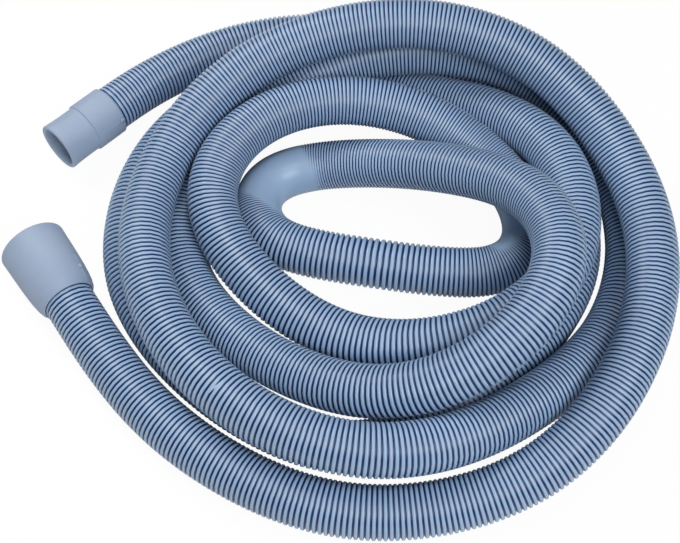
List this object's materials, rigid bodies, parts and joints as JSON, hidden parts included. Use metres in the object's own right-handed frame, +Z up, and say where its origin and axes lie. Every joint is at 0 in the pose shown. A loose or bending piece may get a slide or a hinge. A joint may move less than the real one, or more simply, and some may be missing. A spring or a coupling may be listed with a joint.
{
  "type": "washing machine drain hose",
  "caption": "Corrugated drain hose lying in a loose pile of turns, with a stepped straight cuff on one end and a conical cuff on the other.",
  "frame": {"origin": "on the floor, under the middle of the pile's bounding box", "axes": "+Z up; the hose lies on the XY plane, both cuffs point towards -X, and the pile is seen from -Y in the picture"},
  "size_m": [0.3412, 0.3148, 0.0831],
  "materials": {
    "corrugated_hose": "corrugated polypropylene, satin, blue-grey",
    "moulded_cuff": "moulded soft rubber, matte, pale blue-grey"
  },
  "bodies": {
    "root": {"hose_run_1": "corrugated_hose", "hose_run_2": "corrugated_hose", "hose_run_3": "corrugated_hose", "hose_run_4": "corrugated_hose", "hose_run_5": "corrugated_hose", "hose_run_6": "corrugated_hose", "hose_run_7": "corrugated_hose", "hose_run_8": "corrugated_hose", "straight_cuff": "moulded_cuff", "conical_cuff": "moulded_cuff"}
  },
  "joints": []
}
